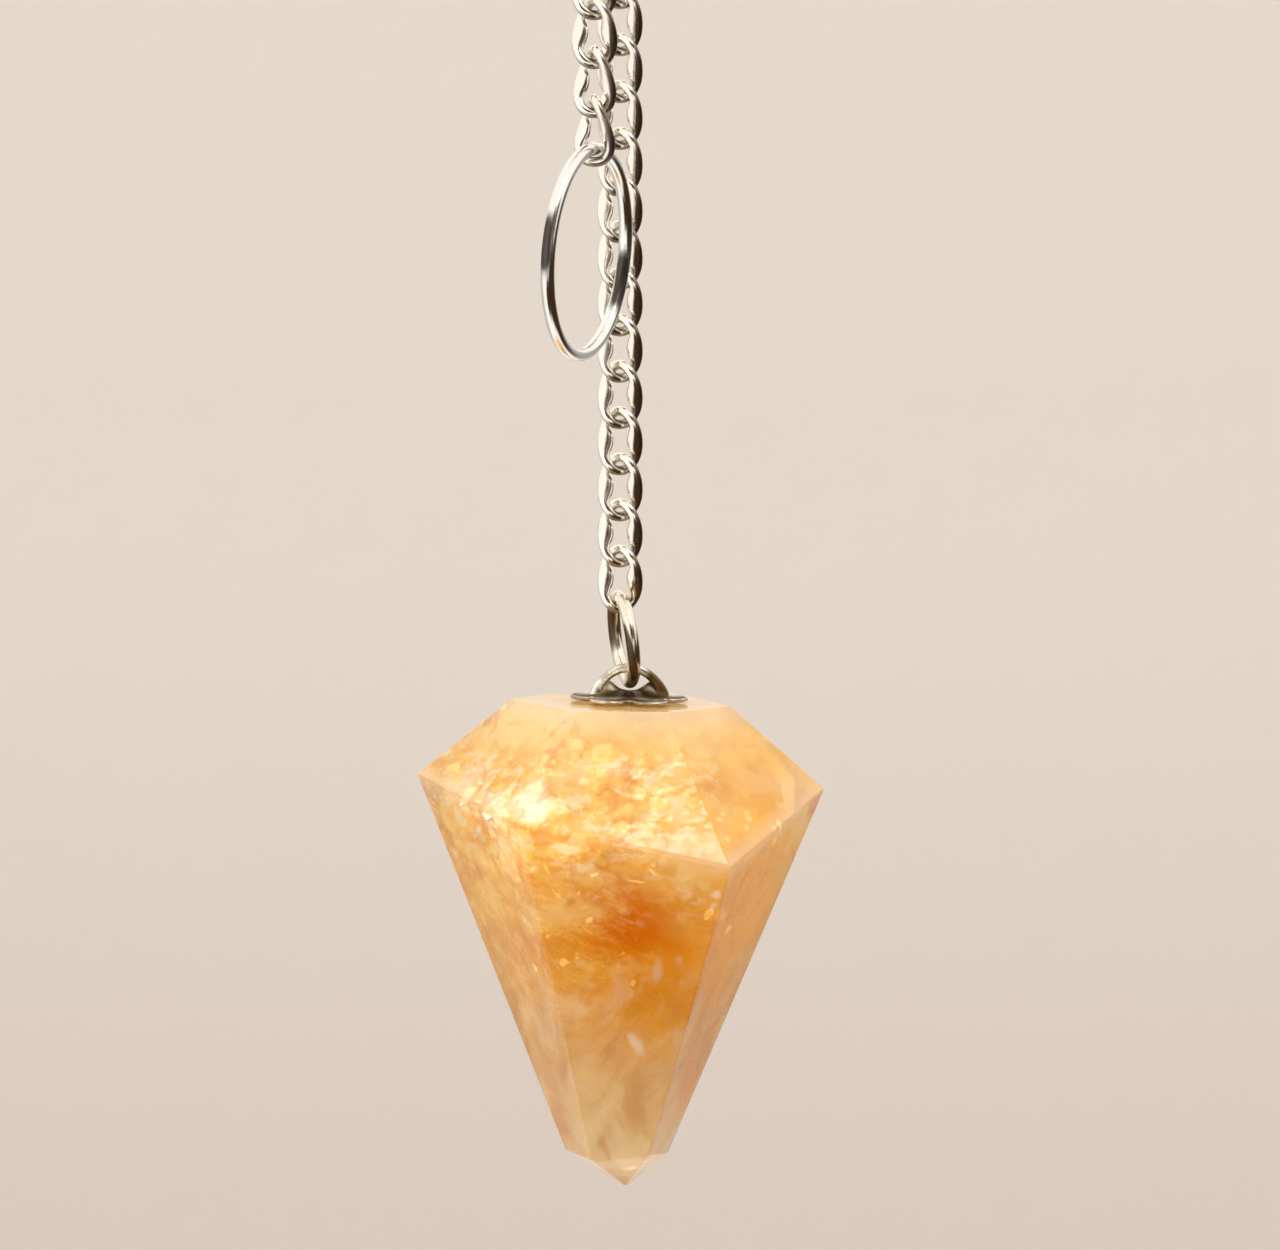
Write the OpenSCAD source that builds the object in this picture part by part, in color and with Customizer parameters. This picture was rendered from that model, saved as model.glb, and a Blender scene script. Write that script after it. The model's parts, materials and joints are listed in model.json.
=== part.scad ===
// Pendulum pendant: a six-sided cut stone under a glued bail cap, a jump ring, a folded curb
// chain and a finger ring. Millimetres, Z up, X to the viewer's right, Y away from the viewer.
// The origin is the middle of the fold, where the peg or hook passes that the chain hangs over.

/* [Chain] */
// Distance from one link to the next
link_pitch = 2.76; // [2.7:0.02:2.8]
// Width of the link wire at the link's ends, across the link's flat side
link_wire = 0.58; // [0.5:0.02:0.6]
// Thickness of the link wire, from face to face
link_thick = 0.52; // [0.46:0.02:0.58]
// How much wider the wire gets in the middle of a link's two sides, inwards
link_swell = 0.22; // [0:0.02:0.3]
// How far that swelling reaches up and down from the middle of the link
link_swell_reach = 0.9; // [0.6:0.05:0.9]
// Half the width of a link, to the middle of its wire
link_half_width = 1.08; // [1.05:0.01:1.12]
// Half the length of a link, to the middle of its wire
link_half_length = 1.8; // [1.78:0.01:1.84]
// How square the ends of a link are, where 2 is an ellipse
link_squareness = 2.4; // [2.4:0.1:2.8]
// Turn of each end of a link against its middle, in degrees
link_twist = 40; // [38:1:44]
// Straight links on the long strand, down to the jump ring
drop_links = 32; // [28:1:34]
// Straight links on the short strand, down to the finger ring
return_links = 23; // [12:1:24]
// Turn of the whole chain about the vertical, in degrees
chain_turn = -7.6; // [-12:0.2:0]

/* [Fold] */
// Links that go round the fold
fold_links = 6; // [6:1:8]
// How far below the fold's middle the first of them starts, in degrees
fold_lead = 9; // [0:1:14]

/* [Chain end] */
// Links at the end of the short strand that turn with the finger ring
end_twist_links = 4; // [3:1:5]
// How far each of them turns against the one above, in degrees
end_twist_step = -9; // [-10:1:-8]

/* [Jump ring] */
// Outside diameter of the jump ring
jump_ring_d = 6; // [5.8:0.1:6.4]
// Thickness of its wire
jump_ring_wire = 0.8; // [0.7:0.05:0.8]
// Turn of its plane about the vertical, in degrees
jump_ring_turn = 11.7; // [8:0.1:14]
// How far it leans to the viewer's right, in degrees
jump_ring_lean = 7; // [4:0.5:8]

/* [Finger ring] */
// Outside diameter of the finger ring
finger_ring_d = 12.6; // [12:0.1:13]
// Thickness of its wire
finger_ring_wire = 0.8; // [0.7:0.05:0.8]
// Turn of its plane about the vertical, in degrees
finger_ring_turn = -21; // [-23:0.1:-19]
// How far it leans to the viewer's left, in degrees
finger_ring_lean = 5; // [3:0.5:5]

/* [Bail cap] */
// Width of the petal plate across two petals
plate_w = 7.1; // [6.6:0.1:7.4]
// Thickness of the petal plate
plate_t = 0.36; // [0.3:0.02:0.4]
// Number of petals round the plate
petals = 6; // [5:1:8]
// Width of the arch at its feet
arch_foot_w = 4.7; // [4.4:0.1:5]
// Height of the arch above the middle of the plate
arch_h = 2.05; // [2:0.05:2.2]
// Thickness of the arch's strap
arch_t = 0.5; // [0.4:0.02:0.5]
// Width of the arch's strap, from front to back
arch_depth = 1.2; // [1:0.1:1.2]
// Power of the arch's outer curve, where 1 has straight legs and 2 is an ellipse
arch_power = 1.6; // [1.5:0.05:1.8]

/* [Stone] */
// Radius of the table, to the middle of its sides
table_r = 5.45; // [5:0.05:5.8]
// How far the table dips to the viewer's right, in degrees
table_tilt = 1.6; // [0:0.2:3]
// Depth of the ridge where the long facets end, below the table
ridge_depth = 27.4; // [25:0.1:28]
// Radius of the stone at that ridge, to the middle of its sides
ridge_r = 2.82; // [2.4:0.02:3]
// Depth of the point below the table
tip_depth = 29.7; // [29.2:0.1:30.5]

/* [Hidden] */
chain_silver = [0.80, 0.76, 0.69];
ring_silver = [0.82, 0.82, 0.80];
stone_gold = [0.93, 0.64, 0.24];

// Gap left between a hanging ring and the wire it hangs on
hang_gap = 0.09;
// Gap between the top of the jump ring's wire and the arch that hangs on it
arch_gap = 0.17;
// Film of glue between the plate and the table
glue_gap = 0.05;
// Stations along a link and sides of its wire in the mesh
link_stations = 16;
wire_sides = 6;
ring_fn = 96;

// Fold: the links are chords of a circle round the origin
fold_step = 180 / fold_links;
fold_r = link_pitch / (2 * sin(fold_step / 2));
strand_y = fold_r * cos(fold_lead);
drop_top_z = -fold_r * sin(fold_lead);
return_top_z = fold_r * sin(fold_lead);

// Middle of the wire at the lower end of each strand, from which a ring hangs
drop_end_z = drop_top_z - (drop_links - 0.5) * link_pitch - link_half_length;
return_end_z = return_top_z - (return_links - 0.5) * link_pitch - link_half_length;
drop_end = turned([0, strand_y, drop_end_z], chain_turn);
return_end = turned([0, -strand_y, return_end_z], chain_turn);

// Jump ring: its centre hangs below the wire of the last link
jump_ring_r = (jump_ring_d - jump_ring_wire) / 2;
jump_ring_hang = jump_ring_r - jump_ring_wire / 2 - link_wire / 2 - hang_gap;
jump_ring_reach = jump_ring_hang + jump_ring_r;
jump_ring_low = drop_end + turned([jump_ring_reach * sin(jump_ring_lean), 0,
                                   -jump_ring_reach * cos(jump_ring_lean)], jump_ring_turn);

// Finger ring
finger_ring_r = (finger_ring_d - finger_ring_wire) / 2;
finger_ring_hang = finger_ring_r - finger_ring_wire / 2 - link_wire / 2 - hang_gap;

// Cap: the arch hangs on the jump ring's lowest wire, and the plate is soldered to its feet
arch_inner_h = arch_h - arch_t;
arch_inner_w = arch_foot_w - 3 * arch_t;
arch_inner_power = 2;
plate_z = jump_ring_low[2] + jump_ring_wire / 2 + arch_gap - arch_inner_h;
petal_r = plate_w * 0.16;
petal_ring_r = plate_w / 2 - petal_r;
arch_points = 24;

// Stone: its origin is the middle of the table, a little off the arch, its weight nearly under it
stone_shift = [-0.42, 0.12];
stone_origin = [jump_ring_low[0] + stone_shift[0],
                jump_ring_low[1] + stone_shift[1],
                plate_z - plate_t / 2 - glue_gap];
ridge_shift = [-0.2, 0, 0];
tip_shift = [0.2, 0, 0];
cut_size = 90;
stone_sides = 6;
// Girdle corners, anticlockwise from the right
// azimuth in degrees, distance from the axis, depth below the table
girdle_corners = [
    [0, 12.2, 5.3],
    [60, 12.9, 5.3],
    [120, 11.3, 4.6],
    [180, 12.35, 4.4],
    [240, 12.2, 5.9],
    [300, 12.7, 8.4]
];

// A point turned about the vertical through the origin
function turned(p, a) = [p[0] * cos(a) - p[1] * sin(a), p[0] * sin(a) + p[1] * cos(a), p[2]];

function unit(v) = v / norm(v);

// A power that keeps the sign of its base
function signed_pow(v, p) = sign(v) * pow(abs(v), p);

// Middle of the link's wire at an angle round the link: a squared oval, twisted along its length
function link_at(t) =
    let (x = link_half_width * signed_pow(cos(t), 2 / link_squareness),
         z = link_half_length * signed_pow(sin(t), 2 / link_squareness),
         w = -link_twist * z / link_half_length)
    [x * cos(w), x * sin(w), z];

// The direction across the link's flat side at that angle
function link_flat(t) =
    let (z = signed_pow(sin(t), 2 / link_squareness),
         w = -link_twist * z)
    [-sin(w), cos(w), 0];

// One ring of points round the wire, an oval that swells towards the middle of the link on its sides
function wire_ring(t) =
    let (middle = link_at(t),
         along = unit(link_at(t + 2) - link_at(t - 2)),
         flat = link_flat(t),
         across = unit(flat - (flat * along) * along),
         out = cross(along, across),
         outward = sign(out * [middle[0], middle[1], 0]),
         swell = link_swell * max(0, 1 - pow(middle[2] / link_swell_reach, 2)) / 2)
    [for (j = [0:wire_sides - 1])
        let (a = 360 * (j + 0.5) / wire_sides)
        middle + link_thick / 2 * cos(a) * across
               + ((link_wire / 2 + swell) * sin(a) - outward * swell) * out];

function link_points() = [for (i = [0:link_stations - 1]) each wire_ring(360 * i / link_stations)];

// Two triangles for each patch between two stations, because the patches aren't flat
function link_faces() =
    [for (i = [0:link_stations - 1], j = [0:wire_sides - 1])
        let (i2 = (i + 1) % link_stations,
             j2 = (j + 1) % wire_sides,
             a = i * wire_sides + j,
             b = i2 * wire_sides + j,
             c = i2 * wire_sides + j2,
             d = i * wire_sides + j2)
        each [[a, b, c], [a, c, d]]];

// A facet plane through three points as its outward normal and its distance from the middle
function facet(a, b, c, inside) =
    let (n = unit(cross(b - a, c - a)),
         side = (inside - a) * n > 0 ? -1 : 1)
    [side * n, side * (n * a)];

function polar(azimuth, r, depth) = [r * cos(azimuth), r * sin(azimuth), -depth];

function girdle(k) =
    let (row = girdle_corners[k % stone_sides])
    polar(row[0], row[1], row[2]);

// Middle of the table's side that faces an azimuth, on the tilted table
function table_side(azimuth) =
    polar(azimuth, table_r, table_r * cos(azimuth) * tan(table_tilt));

function ridge_side(azimuth) = polar(azimuth, ridge_r, ridge_depth) + ridge_shift;

function ridge_corner(azimuth) =
    polar(azimuth, ridge_r / cos(180 / stone_sides), ridge_depth) + ridge_shift;

// One curb link standing on its end, with its middle at the origin
module link() {
    polyhedron(points = link_points(), faces = link_faces(), convexity = 6);
}

// A link on a strand or on the fold: its middle, its lean over the fold and its turn
module placed_link(middle, lean, turn) {
    translate(middle) rotate([lean, 0, 0]) rotate([0, 0, turn]) link();
}

// The long strand and the fold
module drop_chain() {
    color(chain_silver)
    rotate([0, 0, chain_turn]) {
        for (k = [1:drop_links]) {
            placed_link([0, strand_y, drop_top_z - (k - 0.5) * link_pitch], 0, 0);
        }
        for (k = [0:fold_links - 1]) {
            a = (k + 0.5) * fold_step - fold_lead;
            reach = fold_r * cos(fold_step / 2);
            placed_link([0, reach * cos(a), reach * sin(a)], a, 0);
        }
    }
}

// The short strand, whose last links turn with the finger ring
module return_chain() {
    color(chain_silver)
    rotate([0, 0, chain_turn])
    for (k = [1:return_links]) {
        steps = max(0, k - (return_links - end_twist_links));
        placed_link([0, -strand_y, return_top_z - (k - 0.5) * link_pitch], 0, steps * end_twist_step);
    }
}

// A wire ring that hangs from a point, with its plane across X before it leans and turns
module hung_ring(point, ring_r, wire, hang, lean, turn) {
    translate(point)
    rotate([0, 0, turn])
    rotate([0, lean, 0])
    translate([0, 0, -hang])
    rotate([0, 90, 0])
    rotate_extrude($fn = ring_fn)
    translate([ring_r, 0])
    circle(d = wire, $fn = 32);
}

module jump_ring() {
    color(ring_silver)
    hung_ring(drop_end, jump_ring_r, jump_ring_wire, jump_ring_hang, -jump_ring_lean, jump_ring_turn);
}

module finger_ring() {
    color(ring_silver)
    hung_ring(return_end, finger_ring_r, finger_ring_wire, finger_ring_hang,
              finger_ring_lean, finger_ring_turn);
}

// Half of a squared oval of width w, height h and a power, with its feet at zero
function arch_curve(w, h, power) =
    [for (i = [0:arch_points])
        let (a = 180 * i / arch_points)
        [w / 2 * signed_pow(cos(a), 2 / power), h * signed_pow(sin(a), 2 / power)]];

// The petal plate and the arch, soldered into one
module bail_cap() {
    color(ring_silver)
    translate([jump_ring_low[0], jump_ring_low[1], plate_z])
    rotate([0, table_tilt, 0])
    union() {
        translate([0, 0, -plate_t / 2])
        linear_extrude(plate_t) {
            circle(r = petal_ring_r, $fn = ring_fn);
            for (k = [0:petals - 1]) {
                rotate(k * 360 / petals) translate([petal_ring_r, 0]) circle(r = petal_r, $fn = 48);
            }
        }
        rotate([90, 0, 0])
        linear_extrude(arch_depth, center = true)
        difference() {
            polygon(arch_curve(arch_foot_w, arch_h, arch_power));
            polygon(arch_curve(arch_inner_w, arch_inner_h, arch_inner_power));
        }
    }
}

// Everything on the inner side of a facet plane
module inside_of(plane) {
    n = plane[0];
    rotate([0, acos(n[2]), atan2(n[1], n[0])])
    translate([-cut_size / 2, -cut_size / 2, plane[1] - cut_size])
    cube(cut_size);
}

// The stone: a table, and for each side a crown, a long and a tip facet
module cut_stone() {
    middle = [0, 0, -ridge_depth / 2];
    tip = [0, 0, -tip_depth] + tip_shift;
    color(stone_gold)
    translate(stone_origin)
    intersection() {
        inside_of([[sin(table_tilt), 0, cos(table_tilt)], 0]);
        intersection_for(k = [0:stone_sides - 1]) {
            azimuth = (k + 0.5) * 360 / stone_sides;
            left = azimuth - 180 / stone_sides;
            right = azimuth + 180 / stone_sides;
            intersection() {
                inside_of(facet(girdle(k), girdle(k + 1), table_side(azimuth), middle));
                inside_of(facet(girdle(k), girdle(k + 1), ridge_side(azimuth), middle));
                inside_of(facet(ridge_corner(left), ridge_corner(right), tip, middle));
            }
        }
    }
}

drop_chain();
return_chain();
jump_ring();
finger_ring();
bail_cap();
cut_stone();
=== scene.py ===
import json
import math
import bmesh
import bpy
import numpy as np
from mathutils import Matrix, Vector


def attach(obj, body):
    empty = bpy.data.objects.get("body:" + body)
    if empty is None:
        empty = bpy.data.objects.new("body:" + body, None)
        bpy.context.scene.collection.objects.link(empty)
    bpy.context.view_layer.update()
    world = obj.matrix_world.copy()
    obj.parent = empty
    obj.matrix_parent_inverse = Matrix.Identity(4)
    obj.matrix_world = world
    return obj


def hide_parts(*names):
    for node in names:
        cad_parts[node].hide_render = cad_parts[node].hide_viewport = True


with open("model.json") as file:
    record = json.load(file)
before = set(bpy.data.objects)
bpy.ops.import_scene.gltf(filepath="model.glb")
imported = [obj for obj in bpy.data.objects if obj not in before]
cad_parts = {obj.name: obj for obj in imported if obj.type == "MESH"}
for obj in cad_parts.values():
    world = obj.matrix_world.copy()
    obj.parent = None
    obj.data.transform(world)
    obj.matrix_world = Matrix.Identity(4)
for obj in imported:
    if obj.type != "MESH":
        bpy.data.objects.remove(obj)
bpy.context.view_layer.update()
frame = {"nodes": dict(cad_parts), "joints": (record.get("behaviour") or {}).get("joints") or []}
mm = 0.001
jointAt = {j["name"]: np.array(j["pos_m"]) for j in frame["joints"]}
print("frame loaded:", sorted(frame["nodes"]))


# Mesh helpers

def unit(v):
    return v / np.linalg.norm(v, axis=-1, keepdims=True)


def signedPow(v, power):
    return np.sign(v) * np.abs(v) ** power


def ramp(value, start, width):
    # 0 up to the start and 1 after the width, straight between
    return np.clip((value - start) / width, 0, 1)


def turnAbout(axis, degrees):
    # rotation matrix by the axis-angle formula: I + sin K + (1 - cos) K K
    x, y, z = unit(np.asarray(axis, float))
    k = np.array([[0, -z, y], [z, 0, -x], [-y, x, 0]])
    a = math.radians(degrees)
    return np.eye(3) + math.sin(a) * k + (1 - math.cos(a)) * k @ k


def gridFaces(nu, nv, wrapU=True, wrapV=True):
    # quads of a grid whose point (i, j) has the number i * nv + j
    i = np.arange(nu if wrapU else nu - 1)[:, None]
    j = np.arange(nv if wrapV else nv - 1)[None]
    i2, j2 = (i + 1) % nu, (j + 1) % nv
    return np.stack([i * nv + j, i2 * nv + j, i2 * nv + j2, i * nv + j2], -1).reshape(-1, 4)


def makeMesh(name, verts, faces, values=None, smooth=True):
    # verts is an (n, 3) array in metres; values holds named numbers, one for each vertex
    mesh = bpy.data.meshes.new(name)
    mesh.from_pydata(verts.tolist(), [], faces if isinstance(faces, list) else faces.tolist())
    for key, numbers in (values or {}).items():
        layer = mesh.attributes.new(key, "FLOAT", "POINT")
        layer.data.foreach_set("value", np.asarray(numbers, np.float32).ravel())
    return showMesh(mesh, smooth)


def showMesh(mesh, smooth=True):
    mesh.polygons.foreach_set("use_smooth", [smooth] * len(mesh.polygons))
    mesh.update()
    obj = bpy.data.objects.new(mesh.name, mesh)
    bpy.context.collection.objects.link(obj)
    return obj


def closePoles(obj):
    # merges points that meet, as at a pole, and turns all faces outwards
    work = bmesh.new()
    work.from_mesh(obj.data)
    bmesh.ops.remove_doubles(work, verts=work.verts, dist=1e-7)
    bmesh.ops.recalc_face_normals(work, faces=work.faces)
    work.to_mesh(obj.data)
    work.free()


def dress(obj, material, body, slotName, *nodes):
    obj.data.materials.clear()
    obj.data.materials.append(material)
    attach(obj, body)
    if nodes:
        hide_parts(*nodes)


# Node helpers

class Nodes:
    # short names for the nodes of one tree
    def __init__(self, tree):
        self.tree = tree

    def add(self, kind, inputs=None, **settings):
        node = self.tree.nodes.new(kind)
        for key, value in settings.items():
            setattr(node, key, value)
        for key, value in (inputs or {}).items():
            self.feed(node.inputs[key], value)
        return node

    def feed(self, socket, value):
        if isinstance(value, bpy.types.NodeSocket):
            self.tree.links.new(value, socket)
        else:
            socket.default_value = value

    def vector(self, operation, a, b=(0, 0, 0)):
        # b is a number for SCALE; DOT_PRODUCT and LENGTH give a number
        second = "Scale" if operation == "SCALE" else 1
        made = self.add("ShaderNodeVectorMath", {0: a, second: b}, operation=operation)
        return made.outputs["Value" if operation in ("DOT_PRODUCT", "LENGTH") else "Vector"]

    def axis(self, place, name):
        return self.add("ShaderNodeSeparateXYZ", {0: place}).outputs[name]

    def spot(self, origin):
        # Object coordinates in millimetres from a point of the part
        coord = self.add("ShaderNodeTexCoord").outputs["Object"]
        return self.vector("SCALE", self.vector("SUBTRACT", coord, tuple(origin)), 1 / mm)

    def noise(self, place, scale, detail=3.0, rough=0.5, warp=0.0):
        made = self.add("ShaderNodeTexNoise", {"Vector": place, "Scale": scale, "Detail": detail,
                                               "Roughness": rough, "Distortion": warp})
        return made.outputs["Fac"]

    def wave(self, place, scale, detail=3.0):
        # three noises as one vector, each about 0.5
        made = self.add("ShaderNodeTexNoise", {"Vector": place, "Scale": scale, "Detail": detail})
        return made.outputs["Color"]

    def pushed(self, place, wave, reach, middle=0.0):
        # place + reach * (wave - middle)
        shift = self.vector("SUBTRACT", wave, (middle, middle, middle)) if middle else wave
        return self.vector("ADD", place, self.vector("SCALE", shift, reach))

    def math(self, operation, a, b=0.0):
        return self.add("ShaderNodeMath", {0: a, 1: b}, operation=operation).outputs[0]

    def times(self, a, b):
        return self.math("MULTIPLY", a, b)

    def grown(self, value, factor, start):
        # value * factor + start
        made = self.add("ShaderNodeMath", {0: value, 1: factor, 2: start}, operation="MULTIPLY_ADD")
        return made.outputs[0]

    def rise(self, value, low, high):
        # 0 below low, 1 above high and smooth between
        made = self.add("ShaderNodeMapRange", {"Value": value, "From Min": low, "From Max": high},
                        interpolation_type="SMOOTHSTEP")
        return made.outputs["Result"]

    def blob(self, place, centre, size):
        # 1 in the middle of an ellipsoid and 0 outside it
        shrunk = self.vector("DIVIDE", self.vector("SUBTRACT", place, centre), size)
        return self.rise(self.vector("LENGTH", shrunk), 1.0, 0.25)

    def mix(self, factor, a, b):
        made = self.add("ShaderNodeMix", data_type="RGBA")
        self.feed(made.inputs["Factor"], factor)
        self.feed(made.inputs[6], a)
        self.feed(made.inputs[7], b)
        return made.outputs[2]

    def paint(self, tone, tint, *shares):
        # the tone with a tint over it, as strong as the product of the shares
        share = shares[0]
        for other in shares[1:]:
            share = self.times(share, other)
        return self.mix(share, tone, colour(*tint))

    def attribute(self, name):
        return self.add("ShaderNodeAttribute", attribute_name=name).outputs["Fac"]


class Finish(Nodes):
    # the nodes of one material
    def __init__(self, name):
        self.material = bpy.data.materials.new(name)
        self.material.use_nodes = True
        super().__init__(self.material.node_tree)
        self.shader = self.tree.nodes["Principled BSDF"]
        self.output = self.tree.nodes["Material Output"]

    def set(self, **values):
        for key, value in values.items():
            self.feed(self.shader.inputs[key.replace("_", " ")], value)

    def bump(self, height, strength, distance):
        made = self.add("ShaderNodeBump", {"Height": height, "Strength": strength, "Distance": distance})
        self.feed(self.shader.inputs["Normal"], made.outputs["Normal"])


def colour(r, g, b):
    # a colour given as a screen shows it, 0 to 255, made linear
    c = np.array([r, g, b]) / 255
    return (*np.where(c <= 0.04045, c / 12.92, ((c + 0.055) / 1.055) ** 2.4), 1.0)


# Camera and framing: 1280 x 1250 frame, looking along +Y and a little down

view = {
    "frameWidth": 76.8,      # mm across the picture at the stone
    "distance": 260.0,       # mm from the lens to the stone's middle plane
    "elevation": 5.5,        # degrees above the horizon
    "aimRight": 1.08,        # mm from the stone's axis to the middle of the picture
    "aimUp": 4.6,            # mm from the table up to the middle of the picture
    "sensor": 36.0,
    "nearest": 0.01,         # m from the lens that is still seen, and the farthest
    "farthest": 20.0,
}
hangPoint = jointAt["pendant_swing"]
tableFromHang = (-0.42, 0.12, -1.21)      # mm from there to the middle of the stone's table
stoneOrigin = hangPoint + np.array(tableFromHang) * mm


def makeCamera():
    a = math.radians(view["elevation"])
    back = np.array([0, -math.cos(a), math.sin(a)])
    aim = stoneOrigin + np.array([view["aimRight"], 0, view["aimUp"]]) * mm
    data = bpy.data.cameras.new("camera")
    data.sensor_width = view["sensor"]
    data.lens = view["sensor"] * view["distance"] / view["frameWidth"]
    data.clip_start = view["nearest"]
    data.clip_end = view["farthest"]
    cam = bpy.data.objects.new("camera", data)
    bpy.context.collection.objects.link(cam)
    cam.location = Vector(aim + back * view["distance"] * mm)
    cam.rotation_mode = "QUATERNION"
    cam.rotation_quaternion = Vector(-back).to_track_quat("-Z", "Y")
    bpy.context.scene.camera = cam


makeCamera()
print("camera made")


# Silver

silver = {
    # tint, tint of the tarnish and of the painted shade and dark reflections, least roughness, strength of
    # that darkening, depth of the dents, share of the mottling
    "chain": ((244, 238, 226), (96, 72, 44), 0.07, 0.8, 0.12, 0.0),
    "ring": ((240, 238, 234), (58, 50, 42), 0.08, 0.96, 0.12, 0.0),
    "jump": ((238, 228, 208), (66, 46, 26), 0.12, 0.95, 0.12, 0.0),
    "cap": ((236, 230, 216), (92, 72, 40), 0.10, 1.0, 0.45, 0.5),
    "mottleTint": (124, 98, 54),
    "stainAndShadeFrom": 0.55,       # sum of tarnishAndShade and noise where the darkening starts
    "stainAndShadeTo": 1.35,         # and where it is full
    "stainNoise": 0.7,
    "stainRough": 0.25,      # roughness that full darkening adds
    "glossNoise": 0.14,
    "hairlines": (6.0, 6.0, 1.2),
    "hairlineDepth": 0.00004,      # m
}


def makeSilver(kind):
    # polished metal: fine noise in the gloss, hairline scratches, a darker tint where "tarnishAndShade" is
    # high, which is tarnish and also painted shade and painted dark reflections, and a mottling all over
    # where the kind has a share of it
    tint, darkTint, shine, darkening, dents, mottle = silver[kind]
    n = Finish(kind + "Silver")
    place = n.spot(stoneOrigin)
    wide = n.noise(place, 0.9, 4.0, 0.6)
    soiledAndShaded = n.math("ADD", n.attribute("tarnishAndShade"), n.times(wide, silver["stainNoise"]))
    stainAndShade = n.times(n.rise(soiledAndShaded, silver["stainAndShadeFrom"], silver["stainAndShadeTo"]), darkening)
    tone = n.paint(colour(*tint), darkTint, stainAndShade)
    if mottle:
        clouded = n.rise(n.noise(place, 1.6, 4.0, 0.65), 0.42, 0.6)
        tone = n.paint(tone, silver["mottleTint"], clouded, mottle)
    n.set(Metallic=1.0)
    n.set(Base_Color=tone)
    rough = n.grown(n.noise(place, 9.0, 3.0, 0.6), silver["glossNoise"], shine)
    n.set(Roughness=n.math("ADD", rough, n.times(stainAndShade, silver["stainRough"])))
    stretched = n.add("ShaderNodeMapping", {"Vector": place, "Scale": silver["hairlines"]}).outputs[0]
    n.bump(n.noise(stretched, 2.2, 5.0, 0.7), dents, silver["hairlineDepth"])
    return n.material


chainSilver = makeSilver("chain")
ringSilver = makeSilver("ring")
jumpSilver = makeSilver("jump")
capSilver = makeSilver("cap")


# Chain

chain = {
    # lengths in mm and angles in degrees
    "pitch": 2.76,           # from link to link
    "wire": 0.585,           # across the link's flat side
    "thick": 0.54,           # from face to face
    "swell": 0.39,           # extra width in the middle of the two sides, inwards
    "swellReach": 1.0,       # how far along the link from its middle
    "halfWidth": 1.07,
    "halfLength": 1.79,
    "hangWire": 0.58,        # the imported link's wire, on which the rings hang
    "squareness": 2.4,       # 2 makes the link an oval, more makes it squarer
    "twist": 40.0,           # from the link's middle to each end
    "dropLinks": 32,
    "returnLinks": 23,
    "foldLinks": 6,
    "foldLead": 9.0,         # how far the fold goes on below the height of its middle
    "endTwistLinks": 4,      # the short strand's last links, which turn on by this step each
    "endTwistStep": -9.0,
    "stations": 56,          # points round a link and round its wire
    "sides": 14,
    "unevenness": 1.2,       # how far a link may sit off true
    # painted shade and a painted dark reflection: start and width as shares of the half length or half
    # width
    "touchShade": (0.35, 0.5),       # towards both ends, inside, painted shade where the next link touches
    "lowShade": (0.55, 0.3),        # towards the lower end, underneath, painted shade
    "rightReflection": (0.35, 0.4),        # towards the right side, on its outer edge, a painted dark reflection
    "lowShadeStrength": 1.3,
    "rightReflectionStrength": 1.3,
    "ringGap": 0.09,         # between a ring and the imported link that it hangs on
}


def linkSurface():
    # centre line: x = a |cos t|^(2/n), z = b |sin t|^(2/n), turned about z by an angle that grows with z
    # wire: an oval carried round that line, one axis square to the link's flat side; the other axis grows
    # inwards by swell * (1 - (z / reach)^2) on the link's two sides
    t = (np.arange(chain["stations"]) + 0.5) / chain["stations"] * 2 * np.pi

    def line(t):
        x = chain["halfWidth"] * signedPow(np.cos(t), 2 / chain["squareness"])
        z = chain["halfLength"] * signedPow(np.sin(t), 2 / chain["squareness"])
        w = -math.radians(chain["twist"]) * z / chain["halfLength"]
        return np.stack([x * np.cos(w), x * np.sin(w), z], -1), w

    centre, w = line(t)
    along = unit(line(t + 0.03)[0] - line(t - 0.03)[0])
    flat = np.stack([-np.sin(w), np.cos(w), 0 * w], -1)
    across = unit(flat - np.sum(flat * along, -1, keepdims=True) * along)
    out = np.cross(along, across)
    a = np.arange(chain["sides"]) / chain["sides"] * 2 * np.pi
    ring = np.cos(a)[None, :, None] * across[:, None] + np.sin(a)[None, :, None] * out[:, None]
    outward = np.sign(np.sum(out[:, :2] * centre[:, :2], -1))[:, None, None]
    swell = chain["swell"] / 2 * np.clip(1 - (centre[:, 2] / chain["swellReach"]) ** 2, 0, 1)[:, None, None]
    side = (chain["wire"] / 2 + swell) * np.sin(a)[None, :, None] - outward * swell
    face = chain["thick"] / 2 * np.cos(a)[None, :, None]
    verts = centre[:, None] + face * across[:, None] + side * out[:, None]
    # tarnishAndShade: painted shade and a painted dark reflection, the largest of three products, each how
    # far the wire's skin faces one way (inwards, down or to the right) by how far along the link it lies
    inward = np.clip(np.sum(ring * unit(-centre)[:, None], -1), 0, 1)
    under = chain["lowShadeStrength"] * np.clip(-ring[..., 2] * 1.3 - 0.1, 0, 1)
    edge = chain["rightReflectionStrength"] * np.clip(1.5 * ring[..., 0] - 0.25, 0, 1)
    endness = ramp(np.abs(centre[:, 2]) / chain["halfLength"], *chain["touchShade"])[:, None]
    lowness = ramp(-centre[:, 2] / chain["halfLength"], *chain["lowShade"])[:, None]
    rightness = ramp(centre[:, 0] / chain["halfWidth"], *chain["rightReflection"])[:, None]
    tarnishAndShade = np.maximum.reduce([inward * endness, under * lowness, edge * rightness])
    return verts.reshape(-1, 3), tarnishAndShade.ravel(), gridFaces(chain["stations"], chain["sides"])


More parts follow.
